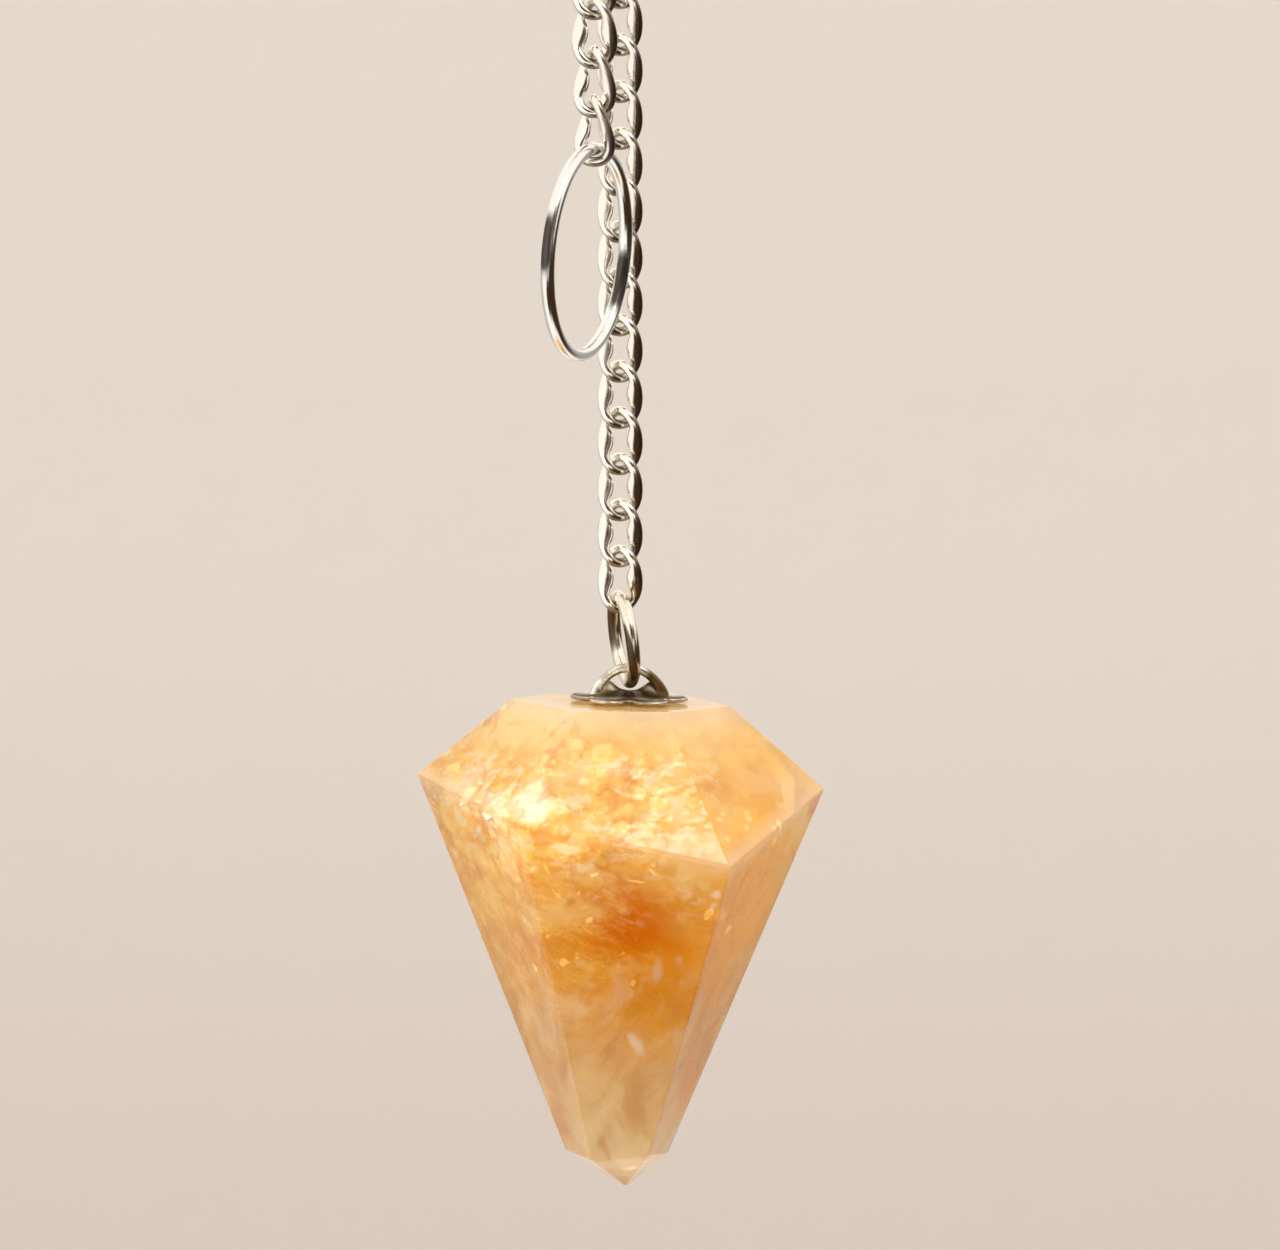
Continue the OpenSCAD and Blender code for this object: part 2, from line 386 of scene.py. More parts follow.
def linkPlaces():
    # y and z of the middle, lean over the fold and turn of every link, in the chain's own upright plane
    # the fold's links are chords of a circle of radius p / (2 sin(step / 2)), and the strands hang below it
    p = chain["pitch"]
    step = 180 / chain["foldLinks"]
    radius = p / (2 * math.sin(math.radians(step / 2)))
    lead = math.radians(chain["foldLead"])
    strandY = radius * math.cos(lead)
    drop = np.arange(chain["dropLinks"])
    back = np.arange(chain["returnLinks"])
    fold = (np.arange(chain["foldLinks"]) + 0.5) * step - chain["foldLead"]
    reach = radius * math.cos(math.radians(step / 2))
    drops = (strandY, -radius * math.sin(lead) - (drop + 0.5) * p, 0, 0)
    folds = (reach * np.cos(np.radians(fold)), reach * np.sin(np.radians(fold)), fold, 0)
    turned = np.clip(back + 1 - (chain["returnLinks"] - chain["endTwistLinks"]), 0, None)
    backs = (-strandY, radius * math.sin(lead) - (back + 0.5) * p, 0, turned * chain["endTwistStep"])
    return [np.stack(np.broadcast_arrays(*row), -1) for row in (drops, folds, backs)]


def makeChain():
    verts, tarnishAndShade, faces = linkSurface()
    foldTurn = math.degrees(math.atan2(-jointAt["jump_ring_swing"][0], jointAt["jump_ring_swing"][1]))
    whole = turnAbout((0, 0, 1), foldTurn)
    rng = np.random.default_rng(11)
    drop, fold, back = linkPlaces()
    for name, rows in (("drop_links", np.vstack([drop, fold])), ("return_links", back)):
        placed = []
        for y, z, lean, turn in rows:
            wobble = rng.normal(0, chain["unevenness"], 2)
            spin = turnAbout((1, 0, 0), lean + 0.5 * wobble[0]) @ turnAbout((0, 0, 1), turn + wobble[1])
            placed.append((verts @ spin.T + [0, y, z]) @ whole.T)
        count = len(rows)
        allFaces = (faces[None] + np.arange(count)[:, None, None] * len(verts)).reshape(-1, 4)
        obj = makeMesh(name, np.vstack(placed) * mm, allFaces, {"tarnishAndShade": np.tile(tarnishAndShade, count)})
        dress(obj, chainSilver, "chain", "chain_silver", name.replace("_links", "_chain"))
        print(name, count, "links")


makeChain()


# Rings

jumpRing = {
    "outside": 6.0,          # mm across, with the wire
    "wire": 0.8,
    "turn": 11.7,            # degrees about the upright line from edge-on
    "lean": -7.0,            # degrees that it tips sideways
    "joinAt": 62.0,          # degrees round the ring where the wire's ends meet
    "joinDepth": 0.2,        # share of the wire that the join is pinched by
    "joinWidth": 0.9,
    # painted dark reflections: degrees round the ring and their reach, degrees round the wire and their
    # reach, how far each slants, strength
    "darkReflections": [(22, 48, -128, 58, 0.0, 1.1), (196, 46, -36, 46, 1.1, 1.2)],
}
fingerRing = {
    "outside": 12.6,
    "wire": 0.8,
    "turn": -21.0,
    "lean": 5.0,
    "joinAt": 205.0,
    "joinDepth": 0.12,
    "joinWidth": 0.5,
    "darkReflections": [(175, 17, -18, 62, 0.5, 1.2), (-18, 21, 160, 66, 0.6, 1.2), (12, 12, 115, 30, 0.0, 0.7)],
}
ringGrid = (192, 20)         # points round a ring and round its wire


def makeRing(name, ring, node, body, joint, material, slotName):
    # a circle of wire: R + r cos b outwards and r sin b sideways, r less where the wire's ends meet
    # a painted dark reflection's strength: strength * exp(-(ring angle / reach)^4 - (wire angle / reach)^4)
    big = (ring["outside"] - ring["wire"]) / 2
    hang = big - ring["wire"] / 2 - chain["hangWire"] / 2 - chain["ringGap"]
    t = np.radians(np.arange(ringGrid[0]) * 360 / ringGrid[0])[:, None]
    b = np.radians(np.arange(ringGrid[1]) * 360 / ringGrid[1])[None]

    def away(angle, degrees):
        return np.angle(np.exp(1j * (angle - math.radians(degrees))))

    pinch = np.exp(-(np.degrees(away(t, ring["joinAt"])) / ring["joinWidth"]) ** 2)
    r = ring["wire"] / 2 * (1 - ring["joinDepth"] * pinch)
    x = r * np.sin(b)
    y = (big + r * np.cos(b)) * np.cos(t)
    z = (big + r * np.cos(b)) * np.sin(t)
    local = np.stack(np.broadcast_arrays(x, y, z), -1).reshape(-1, 3) - [0, 0, hang]
    spin = turnAbout((0, 0, 1), ring["turn"]) @ turnAbout((0, 1, 0), ring["lean"])
    # darker at the join where the wire's ends meet, and painted dark reflections over that
    tarnishAndShade = pinch + 0 * b
    for ringAt, ringReach, wireAt, wireReach, slant, strength in ring["darkReflections"]:
        onRing = away(t, ringAt)
        onWire = away(b - slant * onRing, wireAt)
        darkReflection = np.exp(-(onRing / math.radians(ringReach)) ** 4 - (onWire / math.radians(wireReach)) ** 4)
        tarnishAndShade = np.maximum(tarnishAndShade, strength * darkReflection)
    obj = makeMesh(name, (local @ spin.T) * mm + jointAt[joint], gridFaces(*ringGrid), {"tarnishAndShade": tarnishAndShade})
    closePoles(obj)
    dress(obj, material, body, slotName, node)


makeRing("jump_ring_wire", jumpRing, "jump_ring", "jump_ring", "jump_ring_swing", jumpSilver, "ring_silver")
makeRing("finger_ring_wire", fingerRing, "finger_ring", "finger_ring", "finger_ring_swing", ringSilver,
         "ring_silver")
print("rings made")


# Bail cap

cap = {
    "plateWidth": 7.1,
    "plateThick": 0.36,
    "petals": 6,
    "petalShare": 0.16,      # petal radius as a share of the plate's width
    "petalRise": 0.05,       # swell of each petal, its share of the way out, its reach on that way and, in
                             # radians, across it
    "petalAt": 0.72,
    "petalAlong": 0.2,
    "petalAbout": 0.3,
    "veinDepth": 0.03,       # groove down the middle of each petal, its width and its way out from and to
    "veinWidth": 0.09,
    "veinFrom": 0.35,
    "veinTo": 0.93,
    "domeRise": 0.26,        # the plate's middle rises under the arch
    "domeShare": 0.42,
    "solderRise": 0.8,       # height of the solder at the arch's feet
    "solderAt": 1.35,        # mm from the middle to each foot
    "solderReach": 0.75,
    "plateGrime": 1.1,       # tarnish of the plate, and how much less it is on petals, rim and solder
    "petalWear": 0.8,
    "rimWear": 0.5,
    "solderWear": 0.75,
    "plateGrid": (288, 41),  # points round the plate and from its middle to its middle
    "archWidth": 4.7,
    "archHeight": 2.05,
    "archThick": 0.5,
    "archDepth": 1.176,
    "archPower": 1.6,
    "archExtra": 0.10,       # mm of solder that thickens the strap outwards
    "archFlare": 0.22,       # share that the strap widens by at its feet
    "archGrid": (73, 24),    # points along the strap and round it
    "footTarnishAndShade": (0.35, 0.8),      # tarnish and painted shade at the left foot and at the right
    "footReach": 0.5,        # mm up from the feet
    "rightLegReflection": (0.5, 0.9),  # mm from the middle where the painted dark reflection on the right leg starts, and the width
    "hangGap": 0.17,         # mm between the arch and the jump ring
    "tilt": 1.6,             # degrees that the cap sits off level
}
underArch = cap["archHeight"] - cap["archThick"]
capMiddle = hangPoint + np.array([0, 0, jumpRing["wire"] / 2 + cap["hangGap"] - underArch]) * mm


def petalEdge(theta):
    # the farther of the middle disc and the round petal in this direction, and the angle from the middle
    # of the petal; the petal is the circle of radius p about (q, 0): q cos a + sqrt(p^2 - q^2 sin^2 a)
    petalR = cap["plateWidth"] * cap["petalShare"]
    ringR = cap["plateWidth"] / 2 - petalR
    step = 2 * np.pi / cap["petals"]
    off = (theta + step / 2) % step - step / 2
    inside = petalR ** 2 - (ringR * np.sin(off)) ** 2
    return np.where(inside > 0, ringR * np.cos(off) + np.sqrt(np.clip(inside, 0, None)), ringR), off


def plateSurface():
    # a thin disc: down the upper face, round the rim as half an ellipse and back along the lower face,
    # its width at each angle the petal outline; the upper face swells in the middle of each petal, in the
    # middle of the plate and, as exp(-1.5 d^2), where solder lies at the arch's feet
    around, rows = cap["plateGrid"]
    theta = np.arange(around) / around * 2 * np.pi
    edge, turnOff = petalEdge(theta)
    u = np.linspace(-1, 1, rows)
    share = 1 - np.abs(u) ** 1.6
    half = cap["plateThick"] / 2
    lid = np.sign(u) * half * np.clip(1 - share ** 12, 0, 1) ** 0.5
    r = edge[:, None] * share[None]
    along = (share[None] - cap["petalAt"]) / cap["petalAlong"]
    swell = np.exp(-(turnOff[:, None] / cap["petalAbout"]) ** 2) * np.exp(-along ** 2)
    between = (share[None] > cap["veinFrom"]) * (share[None] < cap["veinTo"])
    vein = np.exp(-(turnOff[:, None] * r / cap["veinWidth"]) ** 2) * between
    dome = cap["domeRise"] * np.clip(1 - (share[None] / cap["domeShare"]) ** 2, 0, 1)
    z = lid[None] + (u > 0)[None] * (cap["petalRise"] * swell - cap["veinDepth"] * vein + dome) + 0 * r
    x, y = r * np.cos(theta)[:, None], r * np.sin(theta)[:, None]
    off = np.hypot(np.abs(x) - cap["solderAt"], y) / cap["solderReach"]
    lump = (u > 0)[None] * np.exp(-off ** 2 * 1.5)
    z = z + cap["solderRise"] * lump
    verts = np.stack([x, y, z], -1)
    tarnishAndShade = cap["plateGrime"] - cap["petalWear"] * swell - cap["rimWear"] * (share[None] > 0.97)
    tarnishAndShade = np.clip(tarnishAndShade - cap["solderWear"] * lump, 0, 1)
    return verts.reshape(-1, 3), tarnishAndShade.ravel(), gridFaces(around, rows, True, False)


def archSurface():
    # a flat strap with round edges, |p|^4 + |q|^4 = 1, carried over the arch halfway between its two curves
    # each curve: x = w / 2 |cos a|^(2/n), z = h |sin a|^(2/n)
    along, sides = cap["archGrid"]
    a = np.linspace(0, np.pi, along)

    def curve(w, h, power):
        x, z = w / 2 * signedPow(np.cos(a), 2 / power), h * signedPow(np.sin(a), 2 / power)
        return np.stack([x, 0 * a, z], -1)

    extra = cap["archExtra"]
    outer = curve(cap["archWidth"] + 2 * extra, cap["archHeight"] + extra, cap["archPower"])
    inner = curve(cap["archWidth"] - 3 * cap["archThick"], cap["archHeight"] - cap["archThick"], 2.0)
    b = np.arange(sides) / sides * 2 * np.pi
    p = signedPow(np.cos(b), 0.5)
    q = signedPow(np.sin(b), 0.5)
    flare = 1 + cap["archFlare"] * np.exp(-(outer[:, 2] / 0.35) ** 2)
    mid, half = (outer + inner) / 2, (outer - inner) / 2
    verts = mid[:, None] + half[:, None] * p[None, :, None]
    verts[..., 1] += cap["archDepth"] / 2 * q[None] * flare[:, None]
    # the feet darker, as tarnish and painted shade, and the right leg darker, as a painted dark reflection
    feet = 1 - ramp(outer[:, 2:3], 0, cap["footReach"])
    leftFootDark, rightFootDark = cap["footTarnishAndShade"]
    darkening = np.where(outer[:, :1] > 0, rightFootDark, leftFootDark) * feet
    tarnishAndShade = np.maximum(darkening, ramp(outer[:, :1], *cap["rightLegReflection"]))
    tarnishAndShade = np.broadcast_to(tarnishAndShade, (along, sides))
    faces = gridFaces(along, sides, False, True)
    ends = [list(range(sides - 1, -1, -1)), list(range((along - 1) * sides, along * sides))]
    return verts.reshape(-1, 3), tarnishAndShade.ravel(), faces, ends


def makeCap():
    plate, plateCrease, plateFaces = plateSurface()
    arch, archTarnishAndShade, archFaces, ends = archSurface()
    verts = np.vstack([plate, arch])
    base = len(plate)
    faces = plateFaces.tolist() + (archFaces + base).tolist() + [[i + base for i in e] for e in ends]
    spin = turnAbout((0, 1, 0), cap["tilt"])
    obj = makeMesh("cap_petals_and_arch", (verts @ spin.T) * mm + capMiddle, faces,
                   {"tarnishAndShade": np.concatenate([plateCrease, archTarnishAndShade])})
    closePoles(obj)
    dress(obj, capSilver, "pendant", "cap_silver", "bail_cap")


makeCap()
print("cap made")


# Stone: a polished, slightly hazy shell, and the cloudy core and the flakes that show inside it

stone = {
    "edgeRound": 1.5,        # mm that the softest edges between facets are rounded by
    "edgeUsual": 0.55,       # share of that for the other edges
    "clearness": 0.56,       # share of the light that goes on into the stone; the rest is surface haze
    "bodyTint": (253, 231, 106),
    "bodyDepth": 70.0,       # absorption for each metre, divided by the tint
    # azimuth of each worn edge, and the heights in mm from the table that its middle lies between: the
    # front girdle, the crown's edge to its right and the long edge to its left
    "wornEdges": [(270, -9, -5), (300, -6, -2), (240, -22, -10)],
    "wornWithin": 20,        # degrees from that azimuth
    "heart": -9.5,           # mm from the table to the point that the core is measured from
    "corePower": 36.0,       # the higher, the sharper the core's own edges
    "coreGrid": (220, 150),  # longitudes and latitudes
    "coreShare": 0.85,       # size of the cloudy core against the shell
    "tipShare": 0.17,        # how much more of the shell it fills towards the point
    "coreRough": 0.45,       # mm of unevenness on the core
    "coreSink": 0.6,         # share of that by which it lies deeper
    "coreWaves": [(1.0, 0.007, 14, 3), (0.5, 0.0025, 18, 4)],     # strength, length in m, how many, seed
    "tip": (0.86, 0.12),     # start and width of the point, by the downward part of a direction
    "skin": 0.6,             # mm of clear stone round the core, at least
    "tipSkin": 0.3,          # share of that at the point
    "skinBlend": 0.25,       # mm over which the core meets that limit
}

# tints of what lies in the stone: its body low, in the middle and high, then crystals, clouds, veils,
# cracks, painted glints, haze and glare, and the painted highlights on the girdle and round the table
tints = {
    "low": (238, 214, 172),
    "middle": (236, 190, 100),
    "high": (252, 216, 120),
    "crystalDeep": (228, 162, 66),
    "crystalPale": (255, 249, 218),
    "cloudTan": (214, 158, 84),
    "cloudMilk": (246, 226, 192),
    "veilDeep": (216, 140, 40),
    "veilPale": (255, 230, 150),
    "crack": (206, 132, 40),
    "glint": (255, 252, 224),
    "haze": (250, 236, 180),
    "glare": (255, 254, 242),
    "girdle": (255, 240, 206),
    "rimGlow": (255, 240, 214),
}

# centre x, y, z and reach x, y, z in mm from the middle of the table, colour, strength
zones = {
    "wide": [
        ((0, 0, -1.0), (16, 16, 3.2), (255, 232, 180), 0.75),
        ((0.5, -6.0, -13.5), (8.5, 9.0, 8.5), (238, 172, 30), 0.9),
        ((0.5, -7.5, -12.0), (3.4, 7.0, 3.6), (224, 132, 0), 0.95),
        ((2.0, -7.0, -14.5), (3.0, 7.0, 3.0), (230, 146, 10), 0.8),
        ((1.8, -6.5, -16.5), (5.5, 6.0, 4.5), (236, 174, 40), 0.75),
        ((-4.8, -8.0, -18.5), (2.8, 6.0, 3.0), (232, 208, 168), 0.6),
        ((7.5, -4.5, -12.0), (4.2, 7.0, 9.0), (252, 200, 40), 0.95),
        ((10.8, -2.0, -5.2), (3.6, 8.0, 2.4), (255, 230, 180), 0.9),
        ((-10.8, -3.0, -5.0), (2.6, 6.0, 2.6), (240, 204, 128), 0.6),
        ((5.4, -6.8, -4.0), (2.6, 4.0, 1.6), (226, 170, 84), 0.5),
        ((-4.6, -2.4, -24.5), (2.6, 5.0, 5.0), (222, 160, 74), 0.6),
        ((4.4, -2.4, -24.0), (2.4, 5.0, 5.5), (240, 176, 66), 0.75),
        ((0.4, -1.0, -27.6), (2.2, 4.0, 2.0), (255, 240, 206), 0.8),
        ((-3.5, 7.5, -6.5), (4.5, 4.5, 2.6), (255, 246, 212), 0.75),
        ((4.0, 6.5, -12.5), (4.5, 5.0, 5.0), (232, 160, 52), 0.8),
        ((-3.0, 5.5, -17.0), (4.0, 4.5, 4.0), (240, 210, 160), 0.7),
    ],
    "small": [
        # these three are painted highlights on the left crown
        ((-7.6, -8.3, -5.5), (1.4, 4.0, 1.2), (255, 250, 226), 0.95),
        ((-9.6, -4.6, -4.5), (1.4, 4.0, 1.1), (255, 242, 210), 0.85),
        ((-5.1, -9.5, -4.9), (1.9, 4.0, 1.6), (255, 252, 238), 1.0),
        ((-6.6, -8.6, -4.0), (0.5, 4.0, 1.5), (220, 152, 70), 0.7),
        # these five are painted glints along the right front edge
        ((5.4, -10.4, -9.75), (0.55, 2.0, 0.5), (255, 252, 246), 1.0),
        ((4.9, -9.9, -10.8), (0.4, 2.0, 0.6), (252, 246, 236), 0.9),
        ((2.1, -7.9, -15.4), (0.55, 2.0, 1.2), (236, 216, 186), 0.8),
        ((3.2, -8.0, -14.6), (0.4, 2.0, 0.6), (236, 216, 186), 0.6),
        ((1.4, -6.0, -19.9), (0.6, 2.0, 0.6), (252, 246, 234), 0.95),
        # a painted glint
        ((-6.6, -9.8, -9.0), (1.3, 4.0, 0.9), (255, 236, 150), 0.8),
        ((-2.9, -9.6, -8.2), (2.0, 4.0, 1.0), (248, 206, 104), 0.6),
        ((-4.6, -8.8, -11.6), (4.2, 4.0, 1.3), (255, 232, 162), 0.8),
        ((-8.2, -6.2, -10.2), (2.6, 4.0, 3.6), (255, 230, 124), 0.85),
        ((-10.4, -4.5, -8.0), (2.2, 5.0, 4.0), (255, 222, 104), 0.8),
        ((-5.8, -6.0, -18.0), (3.0, 4.0, 4.5), (196, 142, 60), 0.7),
        ((5.9, -5.0, -16.3), (2.6, 4.0, 3.5), (250, 192, 40), 0.7),
        ((8.3, -5.0, -4.3), (2.2, 4.0, 1.6), (236, 196, 152), 0.55),
        ((-3.7, -8.5, -3.7), (2.2, 4.0, 1.4), (255, 244, 196), 0.6),
        ((-4.0, -9.9, -7.4), (1.6, 4.0, 1.0), (228, 166, 78), 0.5),
        ((6.0, -4.5, -18.5), (3.0, 5.0, 5.0), (248, 192, 74), 0.6),
        ((4.6, -9.3, -6.6), (2.2, 4.0, 1.7), (240, 188, 100), 0.65),
        ((-4.4, -8.6, -15.2), (2.6, 4.0, 1.6), (252, 206, 96), 0.55),
        ((4.8, -8.5, -13.0), (1.0, 4.0, 3.4), (240, 186, 84), 0.5),
    ],
    # white glare in the crystal: middle, reach and strength
    "glare": [
        ((-5.2, -9.3, -4.9), (1.7, 4.0, 1.35), 1.0),
        ((-9.3, -5.6, -4.0), (1.7, 4.0, 0.8), 0.7),
        ((-7.4, -7.6, -5.0), (1.0, 4.0, 0.8), 0.7),
    ],
}


def stoneShellMesh():
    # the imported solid's own facets, with the triangles of each facet joined
    work = bmesh.new()
    work.from_mesh(frame["nodes"]["cut_stone"].data)
    bmesh.ops.remove_doubles(work, verts=work.verts, dist=2e-6)
    bmesh.ops.dissolve_limit(work, angle_limit=math.radians(1.0), verts=work.verts, edges=work.edges)
    bmesh.ops.recalc_face_normals(work, faces=work.faces)
    return work


def stonePlanes():
    # the outward normal of every facet and its distance from the origin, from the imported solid
    work = stoneShellMesh()
    big = [f for f in work.faces if f.calc_area() > 1e-7]
    normals = np.array([f.normal[:] for f in big])
    reach = np.array([f.calc_center_median().dot(f.normal) for f in big])
    work.free()
    return normals, reach


def depthInside(points):
    # how far each point lies under the nearest facet, in metres, negative outside
    return (facetReach[None] - points @ facetNormal.T).min(1)


def lumps(points, scale, count, seed):
    # a sum of sine waves in chance directions, between about -1 and 1; scale is a wave's length in metres
    rng = np.random.default_rng(seed)
    way = unit(rng.normal(0, 1, (count, 3)))
    length = scale * rng.uniform(0.6, 1.7, count)
    phase = rng.uniform(0, 2 * np.pi, count)
    return np.sin(points @ (way / length[:, None]).T * 2 * np.pi + phase).sum(1) / math.sqrt(count)


def makeShell(material):
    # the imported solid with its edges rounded, the worn ones most
    work = stoneShellMesh()
    mesh = bpy.data.meshes.new("stone_shell")
    work.to_mesh(mesh)
    work.free()
    corners = np.array([v.co[:] for v in mesh.vertices])
    ends = np.array([e.vertices[:] for e in mesh.edges])
    middle = (corners[ends].mean(1) - stoneOrigin) / mm
    side = np.degrees(np.arctan2(middle[:, 1], middle[:, 0])) % 360
    worn = np.zeros(len(side), bool)
    for azimuth, low, high in stone["wornEdges"]:
        between = (middle[:, 2] > low) & (middle[:, 2] < high)
        worn |= (np.abs(side - azimuth) < stone["wornWithin"]) & between
    weight = mesh.attributes.new("bevel_weight_edge", "FLOAT", "EDGE")
    weight.data.foreach_set("value", np.where(worn, 1.0, stone["edgeUsual"]).astype(np.float32))
    obj = showMesh(mesh)
    bevel = obj.modifiers.new("round edges", "BEVEL")
    bevel.limit_method = "WEIGHT"
    bevel.width = stone["edgeRound"] * mm
    bevel.segments = 4
    obj.modifiers.new("flat facets", "WEIGHTED_NORMAL").keep_sharp = True
    print("worn stone edges", int(worn.sum()))
    dress(obj, material, "pendant", "citrine", "cut_stone")


def makeCore(material):
    # round a point on the stone's axis, in every direction (longitude and latitude), the distance to the
    # nearest facet, softened as (sum of distance^-p)^(-1/p), drawn in and made uneven
    # the skin is kept clear by distance - blend * ln(1 + exp((distance - limit) / blend))
    heart = stoneOrigin + np.array([0, 0, stone["heart"]]) * mm
    across, rows = stone["coreGrid"]
    lon = (np.arange(across) / across * 2 * np.pi)[:, None]
    lat = np.linspace(0, np.pi, rows)
    x, y, z = np.cos(lon) * np.sin(lat), np.sin(lon) * np.sin(lat), np.cos(lat)[None]
    way = np.stack(np.broadcast_arrays(x, y, z), -1).reshape(-1, 3)
    facing = np.clip(way @ facetNormal.T, 1e-4, None)
    gap = (facetReach - heart @ facetNormal.T)[None] / facing
    far = (gap ** -stone["corePower"]).sum(1) ** (-1 / stone["corePower"])
    spot = heart + way * far[:, None]
    rough = sum(strength * lumps(spot, *wave) for strength, *wave in stone["coreWaves"])
    tip = ramp(-way[:, 2], *stone["tip"])
    far = far * (stone["coreShare"] + stone["tipShare"] * tip)
    far = far + stone["coreRough"] * mm * (rough - stone["coreSink"])
    limit = gap.min(1) - stone["skin"] * mm * (1 - (1 - stone["tipSkin"]) * tip)
    blend = stone["skinBlend"] * mm
    far = far - blend * np.log1p(np.exp(np.clip((far - limit) / blend, -30, 30)))
    obj = makeMesh("stone_core", heart + way * far[:, None], gridFaces(across, rows, True, False))
    closePoles(obj)
    dress(obj, material, "pendant", "citrine")


def zoneColour(n, place, warpScale, warpReach, picked):
    # the stone's colour in space: gold above, tan below, and the picked zones of the lists above
    spot = n.pushed(place, n.wave(place, warpScale, 2.5), warpReach, 0.5)
    height = n.axis(spot, "Z")
    tone = n.paint(colour(*tints["low"]), tints["middle"], n.rise(height, *crystal["bodyLow"]))
    tone = n.paint(tone, tints["high"], n.rise(height, *crystal["bodyHigh"]))
    for centre, reach, tint, strength in picked:
        tone = n.paint(tone, tint, n.blob(spot, centre, reach), strength)
    return tone, height


# where and how strongly they show: heights and X in mm from the table's middle between which each comes or
# goes, strengths, scales for each mm, and how far in mm a noise pushes the pattern
crystal = {
    "bodyLow": (-27.0, -14.0),
    "bodyHigh": (-13.0, -7.0),
    "patchRise": (-11.5, -6.5),
    "patchEnd": (-0.8, -3.4),
    "patchSide": (8.5, 0.5),
    "patchPush": 1.8,
    "patchScales": (0.34, 0.8),
    "patchDeep": 0.5,
    "patchPale": (0.8, 1.0),
    "cloudRise": (-13.5, -17.5),
    "cloud": 0.55,
    "veilRise": (-20.5, -16.0),
    "veilEnd": (-7.0, -9.5),
    "veilSide": (4.0, -2.5),
    "veilDeep": 0.46,
    "veilPale": 0.85,
    "glintRise": (-12.5, -9.5),
    "glintSide": (7.5, 1.0),
    "glintPush": 1.6,
    "glint": 0.95,
    "crack": 0.5,
    "glarePush": 3.0,
    "hazeLeast": 0.05,
    "hazeMore": 0.22,
    "hazeHole": ((0.8, -6.0, -13.5), (6.0, 9.0, 6.0)),     # middle and reach of the clear part in front
    "girdleReach": 1.1,
    "rimReach": 1.6,
    "rimGlow": 0.75,
}


def addCrystals(n, place, tone, height, amount):
    # broken crystal in the crown: lying patches of about 1 and 2 mm, each lighter or deeper
    jolt = n.wave(place, 0.5)
    lying = n.vector("MULTIPLY", n.pushed(place, jolt, crystal["patchPush"]), (1.0, 1.0, 1.9))
    broad = n.times(n.rise(height, *crystal["patchRise"]), n.rise(height, *crystal["patchEnd"]))
    calm = n.times(broad, n.rise(n.axis(place, "X"), *crystal["patchSide"]))
    for scale, reach, light in zip(crystal["patchScales"], (broad, calm), crystal["patchPale"]):
        patch = n.noise(lying, scale, 2.0, 0.5)
        deep = n.rise(patch, 0.48, 0.36)
        tone = n.paint(tone, tints["crystalDeep"], deep, reach, crystal["patchDeep"] * amount)
        tone = n.paint(tone, tints["crystalPale"], n.rise(patch, 0.55, 0.66), calm, light * amount)
    return tone, jolt


def addClouds(n, place, tone, height):
    # slow clouds in the clear lower half, milky and tan
    cloud = n.noise(slanted(n, place, -62, 0.16, 0.34), 1.0, 4.0, 0.6, 0.6)
    low = n.times(n.rise(height, *crystal["cloudRise"]), crystal["cloud"])
    tone = n.paint(tone, tints["cloudTan"], n.rise(cloud, 0.5, 0.36), low)
    return n.paint(tone, tints["cloudMilk"], n.rise(cloud, 0.5, 0.64), low)


def slanted(n, place, degrees, along, across):
    # places stretched along a line that runs down to the right in the X-Z plane
    a = math.radians(degrees)
    first = n.vector("DOT_PRODUCT", place, (along * math.cos(a), 0, -along * math.sin(a)))
    last = n.vector("DOT_PRODUCT", place, (across * math.sin(a), 0, across * math.cos(a)))
    middle = n.vector("DOT_PRODUCT", place, (0, across, 0))
    return n.add("ShaderNodeCombineXYZ", {0: first, 1: middle, 2: last}).outputs[0]


def addVeils(n, place, tone, height, amount):
    # wisps of milky and of deep gold stone under the crown, thickest on the left
    wisp = n.noise(slanted(n, place, 24, 0.34, 0.62), 1.0, 6.0, 0.74, 0.35)
    band = n.times(n.rise(height, *crystal["veilRise"]), n.rise(height, *crystal["veilEnd"]))
    left = n.times(band, n.rise(n.axis(place, "X"), *crystal["veilSide"]))
    tone = n.paint(tone, tints["veilDeep"], n.rise(wisp, 0.50, 0.34), band, crystal["veilDeep"] * amount)
    return n.paint(tone, tints["veilPale"], n.rise(wisp, 0.46, 0.66), left, crystal["veilPale"] * amount)


def addGlints(n, place, tone, height):
    # painted glints: small bright spots for light off broken faces, in patches of the crown, and the dark
    # gold cracks of the broken crystal round them
    moved = n.pushed(place, n.wave(place, 1.1), crystal["glintPush"])
    zone = n.times(n.rise(height, *crystal["glintRise"]), n.rise(n.axis(place, "X"), *crystal["glintSide"]))
    zone = n.times(zone, n.rise(n.noise(place, 0.33, 3.0), 0.42, 0.56))
    lying = n.vector("MULTIPLY", moved, (1.0, 1.0, 1.3))
    cells = n.add("ShaderNodeTexVoronoi", {"Vector": lying, "Scale": 1.0}, feature="F1").outputs
    tone = n.paint(tone, tints["crack"], n.rise(cells["Distance"], 0.52, 0.8), zone, crystal["crack"])
    chance = n.add("ShaderNodeSeparateColor", {0: cells["Color"]}).outputs[1]
    near = n.times(n.rise(cells["Distance"], 0.52, 0.18), n.rise(chance, 0.52, 0.85))
    return n.paint(tone, tints["glint"], near, zone, crystal["glint"])


def addGlare(n, place, tone, jolt):
    # the white patches, their outlines roughened by the crystals' noise
    moved = n.pushed(place, jolt, crystal["glarePush"], 0.5)
    for centre, reach, strength in zones["glare"]:
        tone = n.paint(tone, tints["glare"], n.blob(moved, centre, reach), strength)
    return tone


